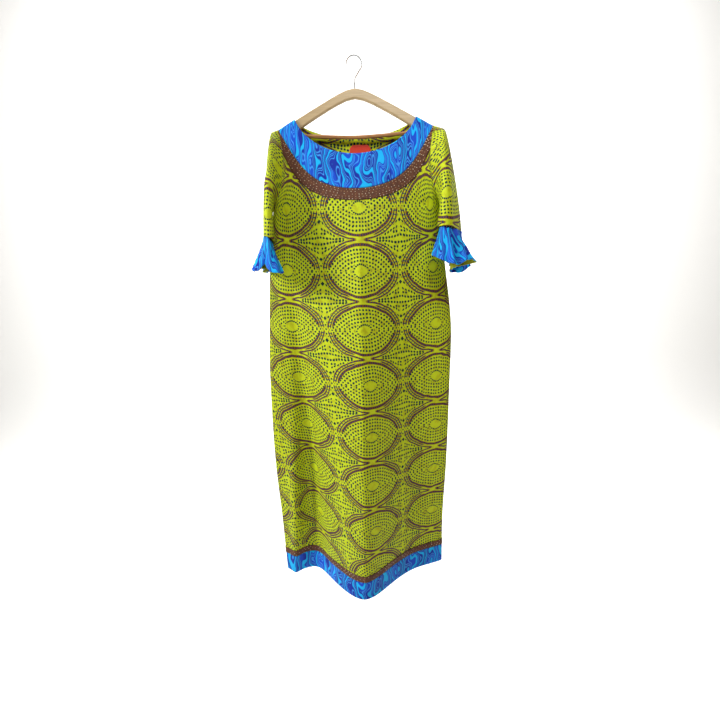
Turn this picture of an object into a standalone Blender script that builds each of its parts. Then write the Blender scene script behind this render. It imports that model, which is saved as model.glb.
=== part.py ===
# A wax print dress on a wooden hanger: sewn cloth pieces as thin walls, with the hanger inside them.
# Metres, +Z up, the front faces -Y, +X is the viewer's right. The origin is the point of the hook
# that rests on its rail.

import math

import bmesh
import bpy
from mathutils import Vector

# Cloth and seams
CLOTH = 0.0012
THIN_CLOTH = 0.0010
SEAM_GAP = 0.0003

# Shoulder line: two straight slopes that meet above the middle of the hanger
SHOULDER_APEX = 0.0615
SHOULDER_SLOPE = 0.54
NECK_HALF = 0.167
SHOULDER_HALF = 0.2126
FOLD_OVER_RADIUS = 0.012

# Heights
UNDERARM = -0.378
HEM = -1.546
HEM_DIP = 0.014
HEM_DIP_WIDTH = 0.1125
HEM_LIFT_RIGHT = 0.005
LIFT_START = -0.80
BAND_HEIGHT = 0.062
HEM_TRIM_WIDTH = 0.0205
SWING_RIGHT = 0.012

# Necklines and curved seams: lowest point, and how far out the ellipse behind the curve reaches
NECK_BOTTOM = -0.250
NECK_REACH = 0.175
BACK_NECK_BOTTOM = -0.197
BACK_NECK_REACH = 0.185
YOKE_BOTTOM = -0.344
YOKE_REACH = 0.985
NECK_TRIM_BOTTOM = -0.3755
NECK_TRIM_REACH = 0.93

# Grid of the cloth
FRONT_COLUMNS = 36
BACK_NECK_COLUMNS = 8
CORNER_CROWDING = 1.6
BACK_SHOULDER_COLUMNS = 4
ARMHOLE_ROWS = 10
NECK_TRIM_ROWS = 4
SKIRT_ROWS = 14
YOKE_ROWS = 3
SHOULDER_EASE = 0.0006
BAND_ROWS = 2

# The body of the dress, one row for each level across it
BODY_COLUMNS = ("height", "middle", "half_width", "front", "back", "ridge", "ridge_x", "ridge_width")
BODY = (
    (-1.567, -0.0100, 0.2650, 0.018, 0.030, 0.102, -0.015, 0.109),
    (-1.360, -0.0125, 0.2685, 0.016, 0.032, 0.0905, -0.010, 0.1155),
    (-1.190, -0.0125, 0.2765, 0.016, 0.034, 0.080, -0.008, 0.120),
    (-1.020, -0.0110, 0.2790, 0.018, 0.034, 0.068, -0.006, 0.128),
    (-0.870, -0.0080, 0.2790, 0.020, 0.034, 0.060, -0.002, 0.135),
    (-0.720, -0.0030, 0.2745, 0.022, 0.032, 0.050, 0.002, 0.140),
    (-0.560, -0.0060, 0.2590, 0.024, 0.030, 0.034, 0.004, 0.145),
    (-0.450, -0.0050, 0.2440, 0.026, 0.026, 0.025, 0.004, 0.150),
    (-0.378, -0.0030, 0.2370, 0.026, 0.022, 0.018, 0.004, 0.150),
    (-0.330, -0.0010, 0.2150, 0.023, 0.018, 0.012, 0.004, 0.150),
    (-0.270, 0.0000, 0.2015, 0.017, 0.012, 0.006, 0.004, 0.150),
    (-0.215, 0.0000, 0.2045, 0.009, 0.006, 0.002, 0.004, 0.150),
    (-0.1763, 0.0000, 0.2126, 0.000, 0.000, 0.000, 0.004, 0.150),
    (-0.150, 0.0000, 0.2126, 0.000, 0.000, 0.000, 0.004, 0.150),
)

# Long folds that grow towards the hem; a positive depth stands out of the dress
FOLD_COLUMNS = ("name", "top", "x_top", "x_hem", "width_top", "width_hem", "depth")
FRONT_FOLDS = (
    ("centre crease", -0.36, 0.002, -0.012, 0.024, 0.026, 0.002),
    ("left valley", -0.50, -0.170, -0.177, 0.045, 0.049, -0.042),
    ("left side ridge", -0.85, -0.212, -0.2455, 0.030, 0.0175, 0.030),
    ("right hollow", -0.60, 0.150, 0.160, 0.045, 0.040, -0.004),
)
BACK_FOLDS = (
    ("left wave", -0.45, -0.100, -0.130, 0.060, 0.055, 0.022),
    ("right wave", -0.40, 0.095, 0.120, 0.060, 0.050, 0.026),
    ("middle hollow", -0.55, 0.000, -0.010, 0.050, 0.045, -0.012),
)

# Sleeves, one row for each ring down the tube. Distances out are from the middle of the dress.
SLEEVE_COLUMNS = ("ring", "outer_out", "outer_z", "inner_out", "inner_z", "front", "rear", "lean")
SLEEVE_RIGHT = (
    (0, 0.2126, -0.1763, 0.2340, -0.3780, 0.028, 0.019, 0.000),
    (1, 0.2300, -0.1830, 0.2375, -0.3840, 0.040, 0.023, 0.005),
    (2, 0.2455, -0.1960, 0.2380, -0.3910, 0.058, 0.025, 0.011),
    (3, 0.2560, -0.2440, 0.2370, -0.4030, 0.076, 0.024, 0.017),
    (4, 0.2690, -0.3220, 0.2340, -0.4210, 0.092, 0.026, 0.023),
    (5, 0.2790, -0.3950, 0.2310, -0.4390, 0.104, 0.028, 0.028),
    (6, 0.2860, -0.4620, 0.2290, -0.4550, 0.114, 0.030, 0.030),
)
SLEEVE_LEFT = (
    (0, 0.2126, -0.1763, 0.2400, -0.3780, 0.028, 0.019, 0.000),
    (1, 0.2230, -0.1820, 0.2430, -0.3850, 0.042, 0.021, 0.003),
    (2, 0.2320, -0.1950, 0.2440, -0.3930, 0.064, 0.020, 0.007),
    (3, 0.2410, -0.2440, 0.2430, -0.4080, 0.086, 0.018, 0.011),
    (4, 0.2510, -0.3250, 0.2410, -0.4320, 0.106, 0.017, 0.014),
    (5, 0.2590, -0.4000, 0.2395, -0.4580, 0.122, 0.018, 0.016),
    (6, 0.2635, -0.4660, 0.2380, -0.4840, 0.134, 0.019, 0.017),
)
SLEEVE_RINGS = 7
JOIN_RINGS = 4.0

# Flounces, one row for each turning point of the wavy hem, round from the inner side by the front.
# The turn is where it leaves the seam, in degrees: 180 inner, 90 front, 0 outer, -90 rear.
FLOUNCE_COLUMNS = ("name", "turn", "out", "y", "drop")
FLOUNCE_RIGHT = (
    ("inner", 180, 0.246, -0.045, 0.085),
    ("front corner", 152, 0.201, -0.075, 0.072),
    ("front lobe", 128, 0.206, -0.112, 0.080),
    ("lobe front", 106, 0.232, -0.126, 0.092),
    ("dip", 84, 0.260, -0.124, 0.097),
    ("arch", 60, 0.290, -0.116, 0.083),
    ("tip", 36, 0.317, -0.098, 0.088),
    ("fold back", 16, 0.297, -0.082, 0.094),
    ("fold inside", -1, 0.260, -0.069, 0.102),
    ("third layer edge", -12, 0.255, -0.055, 0.113),
    ("third layer", -26, 0.288, -0.044, 0.113),
    ("third layer tip", -46, 0.317, -0.024, 0.098),
    ("rear outer", -68, 0.314, 0.008, 0.098),
    ("rear hollow", -90, 0.290, 0.016, 0.100),
    ("rear lobe", -114, 0.296, 0.042, 0.100),
    ("rear", -142, 0.272, 0.046, 0.098),
    ("rear inner", -166, 0.264, 0.012, 0.092),
)
FLOUNCE_LEFT = (
    ("inner", 180, 0.267, -0.040, 0.073),
    ("inner front", 156, 0.220, -0.082, 0.078),
    ("front corner", 134, 0.204, -0.116, 0.083),
    ("front lobe", 112, 0.209, -0.144, 0.087),
    ("front", 93, 0.229, -0.148, 0.087),
    ("notch right", 78, 0.2405, -0.138, 0.080),
    ("notch", 61, 0.2500, -0.121, 0.069),
    ("notch left", 45, 0.2605, -0.130, 0.083),
    ("outer lobe", 28, 0.2765, -0.122, 0.091),
    ("outer corner", 6, 0.291, -0.098, 0.088),
    ("outer", -18, 0.290, -0.062, 0.083),
    ("rear hollow", -44, 0.274, -0.045, 0.081),
    ("rear lobe", -70, 0.288, -0.012, 0.080),
    ("rear", -98, 0.294, 0.012, 0.079),
    ("rear end", -122, 0.289, 0.031, 0.078),
    ("rear inner", -150, 0.278, 0.020, 0.076),
)
FLOUNCE_STEPS = 3
FLOUNCE_RINGS = 3
FLARE_POWER = 1.25

# Label sewn inside the back neck
LABEL_LEFT = -0.019
LABEL_RIGHT = 0.041
LABEL_TOP = -0.214
LABEL_HEIGHT = 0.032
LABEL_CORNER = 0.009

# Hanger
ARM_THICKNESS = 0.012
ARM_CLEARANCE = 0.0008
ARM_HEIGHT_MIDDLE = 0.026
ARM_HEIGHT_END = 0.034
ARM_END = 0.2085
ARM_BEVEL = 0.0042
APEX_ROUNDING = 0.028
ARM_POINTS = 9
BAR_RADIUS = 0.0052
BAR_MIDDLE = -0.200
BAR_END_Z = -0.193
BAR_HALF = 0.190
BAR_STRAIGHT = 0.168
BAR_POINTS = 14
BORE_CLEARANCE = 0.0003
HOOK_WIRE = 0.0017
HOOK_RADIUS = 0.0195
HOOK_FOOT = -0.092
HOOK_POINTS = 16

FRONT_SIDE = -1
BACK_SIDE = 1


def clear_scene():
    for item in list(bpy.data.objects):
        bpy.data.objects.remove(item, do_unlink=True)


def make_material(name, colour, roughness, metallic=0.0):
    material = bpy.data.materials.new(name)
    material.use_nodes = True
    shader = material.node_tree.nodes["Principled BSDF"]
    shader.inputs["Base Color"].default_value = (*colour, 1.0)
    shader.inputs["Roughness"].default_value = roughness
    shader.inputs["Metallic"].default_value = metallic
    return material


# Reading a table as a smooth curve through its rows
def smooth_curve(places, values, at):
    if at <= places[0]:
        return values[0]
    if at >= places[-1]:
        return values[-1]
    k = 0
    while at > places[k + 1]:
        k += 1
    span = places[k + 1] - places[k]

    def slope(i):
        low = max(i - 1, 0)
        high = min(i + 1, len(places) - 1)
        level_before = low < i and values[low] == values[i]
        level_after = high > i and values[high] == values[i]
        if level_before or level_after:
            return 0.0
        return (values[high] - values[low]) / (places[high] - places[low])

    t = (at - places[k]) / span
    start = (1 + 2 * t) * (1 - t) ** 2 * values[k] + t * (1 - t) ** 2 * span * slope(k)
    end = t * t * (3 - 2 * t) * values[k + 1] + t * t * (t - 1) * span * slope(k + 1)
    return start + end


def read(rows, columns, name, at, key):
    place = columns.index(key)
    column = columns.index(name)
    return smooth_curve([row[place] for row in rows], [row[column] for row in rows], at)


def body(name, z):
    return read(BODY, BODY_COLUMNS, name, z, "height")


def smooth_step(t):
    t = min(max(t, 0.0), 1.0)
    return t * t * (3 - 2 * t)


# The form of the dress
def shoulder_line(x):
    return -SHOULDER_APEX - SHOULDER_SLOPE * abs(x)


SHOULDER = shoulder_line(SHOULDER_HALF)


def fold_over(below):
    part = min(max(below / FOLD_OVER_RADIUS, 0.0), 1.0)
    return FOLD_OVER_RADIUS * math.sqrt(1 - (1 - part) ** 2)


def fold_depth(rows, x, z):
    total = 0.0
    for name, top, x_top, x_hem, width_top, width_hem, depth in rows:
        part = min(max((top - z) / (top - HEM), 0.0), 1.05)
        middle = x_top + (x_hem - x_top) * part
        width = width_top + (width_hem - width_top) * part
        total += depth * smooth_step(part / 0.6) * math.exp(-((x - middle) / width) ** 2)
    return total


def surface_y(side, x, z):
    across = (x - body("middle", z)) / body("half_width", z)
    across = min(max(across, -1.0), 1.0)
    closing = min(max((SHOULDER - z) / (SHOULDER - UNDERARM), 0.0), 1.0)
    roundness = math.sqrt(max(1 - (closing * across) ** 2, 0.0))
    depth = fold_over(shoulder_line(x) - z)
    if side == FRONT_SIDE:
        ridge = math.exp(-((x - body("ridge_x", z)) / body("ridge_width", z)) ** 2)
        depth += body("front", z) + body("ridge", z) * ridge + fold_depth(FRONT_FOLDS, x, z)
    else:
        depth += body("back", z) + fold_depth(BACK_FOLDS, x, z)
    swing = SWING_RIGHT * smooth_step((across - 0.4) / 0.6) * smooth_step((-0.9 - z) / 0.6)
    return side * (SEAM_GAP / 2 + depth * roundness) + swing


def hem_lift(across, z):
    return HEM_LIFT_RIGHT * smooth_step(2 * across - 1) * smooth_step((LIFT_START - z) / (LIFT_START - HEM))


def across_point(side, turn, z):
    across = math.sin(turn * math.pi / 2)
    x = body("middle", z) + body("half_width", z) * across
    return Vector((x, surface_y(side, x, z), z + hem_lift(across, z)))


def outward(side, turn, z):
    step = 0.0005
    wide = across_point(side, min(turn + step, 1), z) - across_point(side, max(turn - step, -1), z)
    tall = across_point(side, turn, z + step / 5) - across_point(side, turn, z - step / 5)
    normal = wide.cross(tall).normalized()
    return normal if side == FRONT_SIDE else -normal


def turn_of(x, z):
    across = (x - body("middle", z)) / body("half_width", z)
    return math.asin(min(max(across, -1.0), 1.0)) * 2 / math.pi


# Edges of the pieces, as heights for a place across
def scoop(across, bottom, end, reach):
    rise = (end - bottom) / (1 - math.sqrt(1 - reach ** 2))
    return bottom + rise * (1 - math.sqrt(1 - (reach * across) ** 2))


def armhole_height(row):
    part = (1 - math.cos(math.pi * row / ARMHOLE_ROWS)) / 2
    return SHOULDER + (UNDERARM - SHOULDER) * part


def yoke_edge(across):
    return scoop(across, YOKE_BOTTOM, SHOULDER, YOKE_REACH)


def neck_trim_edge(across):
    return scoop(across, NECK_TRIM_BOTTOM, armhole_height(NECK_TRIM_ROWS), NECK_TRIM_REACH)


def neck_edge(x, bottom, reach):
    return scoop(x / NECK_HALF, bottom, shoulder_line(NECK_HALF), NECK_HALF / reach)


def front_hem(across):
    dip = HEM_DIP * math.exp(-((across * 0.265) / HEM_DIP_WIDTH) ** 2)
    return HEM - dip


def back_hem(across):
    return HEM


def back_top(across):
    z = shoulder_line(across * SHOULDER_HALF)
    for _ in range(6):
        x = body("middle", z) + body("half_width", z) * across
        z = shoulder_line(x)
        if abs(x) < NECK_HALF:
            z = neck_edge(x, BACK_NECK_BOTTOM, BACK_NECK_REACH)
    return z


# Grids of points with their outward directions
def edge_rows():
    rows = [armhole_height(row) for row in range(ARMHOLE_ROWS + 1)]
    bottom = HEM + BAND_HEIGHT + HEM_TRIM_WIDTH
    for row in range(1, SKIRT_ROWS + 1):
        rows.append(UNDERARM + (bottom - UNDERARM) * row / SKIRT_ROWS)
    return rows


def between(high, low, part):
    return high + (low - high) * part


def turns(count):
    return [-1 + 2 * i / count for i in range(count + 1)]


def back_turns():
    corner = turn_of(NECK_HALF, shoulder_line(NECK_HALF))
    steps = [1 - i / BACK_NECK_COLUMNS for i in range(BACK_NECK_COLUMNS + 1)]
    half = [corner * (1 - step ** CORNER_CROWDING) for step in steps]
    outer = [between(corner, 1, i / BACK_SHOULDER_COLUMNS) for i in range(1, BACK_SHOULDER_COLUMNS + 1)]
    right = half + outer
    return [-t for t in reversed(right[1:])] + right


def panel_grid(side, heights, columns):
    grid = []
    for line in heights:
        row = []
        for turn, z in zip(columns, line):
            row.append((across_point(side, turn, z), outward(side, turn, z)))
        grid.append(row)
    return grid


def front_heights(columns):
    edge = edge_rows()
    lines = []
    first = edge[:NECK_TRIM_ROWS + 1]
    for i, z_edge in enumerate(first):
        at_edge = (z_edge - first[0]) / (first[-1] - first[0])
        line = []
        for turn in columns:
            across = math.sin(turn * math.pi / 2)
            part = between(i / NECK_TRIM_ROWS, at_edge, across ** 4)
            line.append(between(yoke_edge(across), neck_trim_edge(across), part))
        lines.append(line)
    rest = edge[NECK_TRIM_ROWS:]
    for z_edge in rest[1:]:
        part = (z_edge - rest[0]) / (rest[-1] - rest[0])
        line = []
        for turn in columns:
            across = math.sin(turn * math.pi / 2)
            low = front_hem(across) + BAND_HEIGHT + HEM_TRIM_WIDTH
            line.append(between(neck_trim_edge(across), low, part))
        lines.append(line)
    lines.append([front_hem(math.sin(t * math.pi / 2)) + BAND_HEIGHT for t in columns])
    return lines


def back_heights(columns):
    edge = edge_rows()
    lines = []
    for z_edge in edge:
        part = (z_edge - edge[0]) / (edge[-1] - edge[0])
        line = []
        for turn in columns:
            across = math.sin(turn * math.pi / 2)
            low = back_hem(across) + BAND_HEIGHT + HEM_TRIM_WIDTH
            line.append(between(back_top(across), low, part))
        lines.append(line)
    lines.append([back_hem(math.sin(t * math.pi / 2)) + BAND_HEIGHT for t in columns])
    return lines


def band_heights(hem, columns):
    lines = []
    for row in range(BAND_ROWS + 1):
        part = row / BAND_ROWS
        line = []
        for turn in columns:
            low = hem(math.sin(turn * math.pi / 2))
            line.append(between(low + BAND_HEIGHT - SEAM_GAP, low, part))
        lines.append(line)
    return lines


def yoke_grid(columns):
    grid = []
    for row in range(YOKE_ROWS + 1):
        line = []
        for turn in columns:
            across = math.sin(turn * math.pi / 2)
            low = across_point(FRONT_SIDE, turn, yoke_edge(across))
            top_x = NECK_HALF * across
            top_z = neck_edge(top_x, NECK_BOTTOM, NECK_REACH)
            deep = math.hypot(low.x - top_x, low.z - top_z)
            gap = SEAM_GAP + SHOULDER_EASE * across ** 8
            part = (1 - gap / deep) * row / YOKE_ROWS
            x = between(top_x, low.x, part)
            z = between(top_z, low.z, part)
            place = Vector((x, surface_y(FRONT_SIDE, x, z), z))
            line.append((place, outward(FRONT_SIDE, turn_of(x, z), z)))
        grid.append(line)
    return grid


# Walls
def add_wall(name, grid, outer, inner, material, closed=False):
    rows = len(grid)
    count = len(grid[0])
    mesh = bmesh.new()

    def layer(offset):
        return [[mesh.verts.new(p + n * offset) for p, n in row] for row in grid]

    skin = layer(outer)
    lining = layer(inner)
    last = count if closed else count - 1
    for i in range(rows - 1):
        for j in range(last):
            k = (j + 1) % count
            mesh.faces.new((skin[i][j], skin[i + 1][j], skin[i + 1][k], skin[i][k]))
            mesh.faces.new((lining[i][k], lining[i + 1][k], lining[i + 1][j], lining[i][j]))
    for j in range(last):
        k = (j + 1) % count
        mesh.faces.new((skin[0][k], lining[0][k], lining[0][j], skin[0][j]))
        mesh.faces.new((skin[-1][j], lining[-1][j], lining[-1][k], skin[-1][k]))
    if not closed:
        for i in range(rows - 1):
            mesh.faces.new((skin[i][0], lining[i][0], lining[i + 1][0], skin[i + 1][0]))
            mesh.faces.new((skin[i + 1][-1], lining[i + 1][-1], lining[i][-1], skin[i][-1]))
    bmesh.ops.recalc_face_normals(mesh, faces=mesh.faces)
    return finish_mesh(name, mesh, material)


def finish_mesh(name, mesh, material):
    bmesh.ops.triangulate(mesh, faces=mesh.faces)
    data = bpy.data.meshes.new(name)
    mesh.to_mesh(data)
    mesh.free()
    data.materials.append(material)
    data.shade_smooth()
    data.set_sharp_from_angle(angle=math.radians(40))
    item = bpy.data.objects.new(name, data)
    bpy.context.collection.objects.link(item)
    return item


def add_panels(print_cloth, blue_cloth, brown_cloth):
    columns = turns(FRONT_COLUMNS)
    front = panel_grid(FRONT_SIDE, front_heights(columns), columns)
    add_wall("front_panel", front, 0.0, -CLOTH, print_cloth)
    over = SEAM_GAP
    add_wall("neck_trim", front[:NECK_TRIM_ROWS + 1], over + THIN_CLOTH, over, brown_cloth)
    add_wall("hem_trim_front", front[-2:], over + THIN_CLOTH, over, brown_cloth)
    add_wall("neck_yoke", yoke_grid(columns), 0.0, -CLOTH, blue_cloth)
    band = panel_grid(FRONT_SIDE, band_heights(front_hem, columns), columns)
    add_wall("hem_band_front", band, 0.0, -CLOTH, blue_cloth)

    columns = back_turns()
    back = panel_grid(BACK_SIDE, back_heights(columns), columns)
    add_wall("back_panel", back, 0.0, -CLOTH, print_cloth)
    add_wall("hem_trim_back", back[-2:], over + THIN_CLOTH, over, brown_cloth)
    band = panel_grid(BACK_SIDE, band_heights(back_hem, columns), columns)
    add_wall("hem_band_back", band, 0.0, -CLOTH, blue_cloth)


# Sleeves
def armhole_point(side, angle):
    part = (1 - math.cos(angle)) / 2
    z = SHOULDER + (UNDERARM - SHOULDER) * part
    face = FRONT_SIDE if math.sin(angle) >= 0 else BACK_SIDE
    place = across_point(face, side, z)
    place.x += side * SEAM_GAP * 1.5
    return place


def sleeve_tube(side, rows, angle, ring):
    def value(name):
        return read(rows, SLEEVE_COLUMNS, name, ring, "ring")

    along = (math.cos(angle) + 1) / 2
    over = math.sin(angle)
    forward = (value("front") - value("rear")) / 2
    half_depth = (value("front") + value("rear")) / 2
    out = between(value("inner_out"), value("outer_out"), along) - value("lean") * over
    z = between(value("inner_z"), value("outer_z"), along)
    return Vector((side * out, -forward - half_depth * over, z))


def sleeve_point(side, rows, angle, ring):
    fit = armhole_point(side, angle) - sleeve_tube(side, rows, angle, 0)
    return sleeve_tube(side, rows, angle, ring) + fit * (1 - smooth_step(ring / JOIN_RINGS))


def tube_normal(point, angle, ring, side):
    step = 0.002
    round_it = point(angle + step, ring) - point(angle - step, ring)
    down = point(angle, ring + step) - point(angle, max(ring - step, 0))
    normal = round_it.cross(down).normalized()
    return normal if side > 0 else -normal


def along_armhole(normal, side, angle):
    part = (1 - math.cos(angle)) / 2
    z = SHOULDER + (UNDERARM - SHOULDER) * part
    face = FRONT_SIDE if math.sin(angle) >= 0 else BACK_SIDE
    turned = outward(face, side, z)
    return turned.lerp(normal, smooth_step((part - 0.6) / 0.35)).normalized()


def flat_to_seam(normal, side, rows):
    last = rows[-1]
    chord = Vector((side * (last[1] - last[3]), 0, last[2] - last[4]))
    up = chord.cross(Vector((0, 1, 0))).normalized()
    return (normal - up * normal.dot(up)).normalized()


def add_sleeve(name, side, rows, material):
    count = ARMHOLE_ROWS * 2

    def point(angle, ring):
        return sleeve_point(side, rows, angle, ring)

    grid = []
    last = rows[-1][0]
    for step in range(SLEEVE_RINGS + 1):
        ring = last * step / SLEEVE_RINGS
        line = []
        for j in range(count):
            angle = 2 * math.pi * j / count
            normal = tube_normal(point, angle, ring, side)
            if step == 0:
                normal = along_armhole(normal, side, angle)
            if step == SLEEVE_RINGS:
                normal = flat_to_seam(normal, side, rows)
            line.append((point(angle, ring), normal))
        grid.append(line)
    add_wall(name, grid, 0.0, -CLOTH, material, closed=True)


# Flounces
def hem_value(rows, name, angle):
    column = FLOUNCE_COLUMNS.index(name)
    places = [-row[1] for row in rows]
    values = [row[column] for row in rows]
    full = [p - 360 for p in places] + places + [p + 360 for p in places]
    return smooth_curve(full, values * 3, -math.degrees(angle))


def flounce_point(side, sleeve_rows, rows, angle, ring):
    seam = sleeve_point(side, sleeve_rows, angle, sleeve_rows[-1][0])
    seam.z -= SEAM_GAP * 1.3
    low = Vector((side * hem_value(rows, "out", angle), hem_value(rows, "y", angle), 0.0))
    part = ring ** FLARE_POWER
    place = seam.lerp(low, part)
    place.z = seam.z - hem_value(rows, "drop", angle) * ring
    return place


def flounce_angles(rows):
    places = [row[1] for row in rows] + [rows[0][1] - 360]
    angles = []
    for high, low in zip(places, places[1:]):
        for step in range(FLOUNCE_STEPS):
            angles.append(math.radians(between(high, low, step / FLOUNCE_STEPS)))
    return list(reversed(angles))


def add_flounce(side_name, side, sleeve_rows, rows, blue_cloth, lining_cloth):
    def point(angle, ring):
        return flounce_point(side, sleeve_rows, rows, angle, min(ring, 1.0))

    grid = []
    for step in range(FLOUNCE_RINGS + 1):
        ring = step / FLOUNCE_RINGS
        line = []
        for angle in flounce_angles(rows):
            near = min(ring, 0.998)
            normal = tube_normal(point, angle, near, side)
            if step == 0:
                normal = flat_to_seam(normal, side, sleeve_rows)
            line.append((point(angle, ring), normal))
        grid.append(line)
    inside = THIN_CLOTH + SEAM_GAP
    add_wall("flounce_" + side_name, grid, 0.0, -THIN_CLOTH, blue_cloth, closed=True)
    add_wall("flounce_lining_" + side_name, grid, -inside, -inside - THIN_CLOTH, lining_cloth, closed=True)


# Label
def add_label(material):
    grid = []
    steps = 8
    for low in (False, True):
        line = []
        for i in range(steps + 1):
            x = between(LABEL_LEFT, LABEL_RIGHT, i / steps)
            near = min(x - LABEL_LEFT, LABEL_RIGHT - x)
            cut = max(LABEL_CORNER - near, 0.0)
            z = LABEL_TOP - cut if not low else LABEL_TOP - LABEL_HEIGHT
            turn = turn_of(x, z)
            line.append((across_point(BACK_SIDE, turn, z), outward(BACK_SIDE, turn, z)))
        grid.append(line)
    inside = CLOTH + SEAM_GAP + 0.0002
    add_wall("neck_label", grid, -inside, -inside - THIN_CLOTH, material)


# Hanger
def arm_outline():
    top = []
    low = []
    for i in range(ARM_POINTS + 1):
        x = ARM_END * i / ARM_POINTS
        soft = math.sqrt(x * x + APEX_ROUNDING ** 2)
        high = -SHOULDER_APEX - SHOULDER_SLOPE * soft - CLOTH - ARM_CLEARANCE
        height = between(ARM_HEIGHT_MIDDLE, ARM_HEIGHT_END, (x / ARM_END) ** 3)
        top.append((x, high))
        low.append((x, high - height))
    nose = [(ARM_END + 0.0035, top[-1][1] - 0.008), (ARM_END + 0.0035, low[-1][1] + 0.010)]
    right = top + nose + list(reversed(low))
    left = [(-x, z) for x, z in reversed(right) if x > 0.0]
    return right + left


def add_cutter(name, start, end, radius):
    axis = end - start
    mesh = bmesh.new()
    bmesh.ops.create_cone(mesh, cap_ends=True, segments=12, radius1=radius, radius2=radius, depth=axis.length)
    turn = axis.to_track_quat("Z", "Y").to_matrix()
    bmesh.ops.rotate(mesh, verts=mesh.verts, cent=(0, 0, 0), matrix=turn)
    bmesh.ops.translate(mesh, verts=mesh.verts, vec=(start + end) / 2)
    data = bpy.data.meshes.new(name)
    mesh.to_mesh(data)
    mesh.free()
    cutter = bpy.data.objects.new(name, data)
    cutter.hide_render = True
    cutter.display_type = "WIRE"
    bpy.context.collection.objects.link(cutter)
    return cutter


def cut_away(item, cutter):
    cut = item.modifiers.new(cutter.name, "BOOLEAN")
    cut.operation = "DIFFERENCE"
    cut.solver = "EXACT"
    cut.object = cutter


def add_arms(material):
    mesh = bmesh.new()
    ring = [mesh.verts.new((x, -ARM_THICKNESS / 2, z)) for x, z in arm_outline()]
    face = mesh.faces.new(ring)
    deep = bmesh.ops.extrude_face_region(mesh, geom=[face])
    moved = [v for v in deep["geom"] if isinstance(v, bmesh.types.BMVert)]
    bmesh.ops.translate(mesh, verts=moved, vec=(0, ARM_THICKNESS, 0))
    bmesh.ops.recalc_face_normals(mesh, faces=mesh.faces)
    rims = [e for e in mesh.edges if abs(e.verts[0].co.y - e.verts[1].co.y) < 1e-6]
    bmesh.ops.bevel(mesh, geom=rims, offset=ARM_BEVEL, segments=2, profile=0.5, affect="EDGES")
    arms = finish_mesh("hanger_arms", mesh, material)
    radius = BAR_RADIUS + BORE_CLEARANCE
    for side in (-1, 1):
        start = Vector((side * 0.10, 0, BAR_END_Z))
        end = Vector((side * (BAR_HALF + BORE_CLEARANCE), 0, BAR_END_Z))
        cut_away(arms, add_cutter(f"bar_bore_{side}", start, end, radius))
    start = Vector((0, 0, HOOK_FOOT - BORE_CLEARANCE))
    end = Vector((0, 0, -SHOULDER_APEX + 0.02))
    cut_away(arms, add_cutter("hook_bore", start, end, HOOK_WIRE + BORE_CLEARANCE))
    return arms


def add_rod(name, points, radius, material):
    curve = bpy.data.curves.new(name, "CURVE")
    curve.dimensions = "3D"
    curve.bevel_depth = radius
    curve.bevel_resolution = 2
    curve.use_fill_caps = True
    spline = curve.splines.new("POLY")
    spline.points.add(len(points) - 1)
    for slot, (x, z) in zip(spline.points, points):
        slot.co = (x, 0.0, z, 1.0)
    curve.materials.append(material)
    item = bpy.data.objects.new(name, curve)
    bpy.context.collection.objects.link(item)
    return item


def bar_route():
    points = []
    for i in range(BAR_POINTS + 1):
        x = between(-BAR_HALF, BAR_HALF, i / BAR_POINTS)
        part = min(abs(x) / BAR_STRAIGHT, 1.0)
        points.append((x, between(BAR_MIDDLE, BAR_END_Z, smooth_step(part))))
    return points


def hook_route():
    radius = HOOK_RADIUS + HOOK_WIRE
    centre = -HOOK_RADIUS
    points = [(0.0, HOOK_FOOT), (0.0, -0.078), (0.0, -0.064), (0.0016, -0.0535), (0.0062, -0.0470)]
    for i in range(HOOK_POINTS + 1):
        angle = math.radians(between(-50, 195, i / HOOK_POINTS))
        points.append((radius * math.cos(angle), centre + radius * math.sin(angle)))
    return points


def build():
    clear_scene()
    print_cloth = make_material("wax_print_cotton", (0.60, 0.66, 0.04), 0.75)
    blue_cloth = make_material("blue_marbled_cotton", (0.02, 0.10, 0.55), 0.65)
    brown_cloth = make_material("brown_studded_trim", (0.16, 0.06, 0.03), 0.70)
    lining_cloth = make_material("plain_green_lining", (0.30, 0.36, 0.03), 0.75)
    label_cloth = make_material("red_woven_label", (0.62, 0.05, 0.01), 0.60)
    arm_wood = make_material("pale_hanger_wood", (0.42, 0.33, 0.18), 0.50)
    bar_wood = make_material("brown_bar_wood", (0.40, 0.20, 0.07), 0.50)
    hook_steel = make_material("bright_steel_wire", (0.60, 0.60, 0.62), 0.25, 1.0)

    add_panels(print_cloth, blue_cloth, brown_cloth)
    add_sleeve("sleeve_left", -1, SLEEVE_LEFT, print_cloth)
    add_sleeve("sleeve_right", 1, SLEEVE_RIGHT, print_cloth)
    add_flounce("left", -1, SLEEVE_LEFT, FLOUNCE_LEFT, blue_cloth, lining_cloth)
    add_flounce("right", 1, SLEEVE_RIGHT, FLOUNCE_RIGHT, blue_cloth, lining_cloth)
    add_label(label_cloth)
    add_arms(arm_wood)
    add_rod("hanger_bar", bar_route(), BAR_RADIUS, bar_wood)
    add_rod("hanger_hook", hook_route(), HOOK_WIRE, hook_steel)


build()
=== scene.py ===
import math
from functools import lru_cache, partial

import bmesh
import bpy
from mathutils import Matrix, Vector, noise


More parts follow.
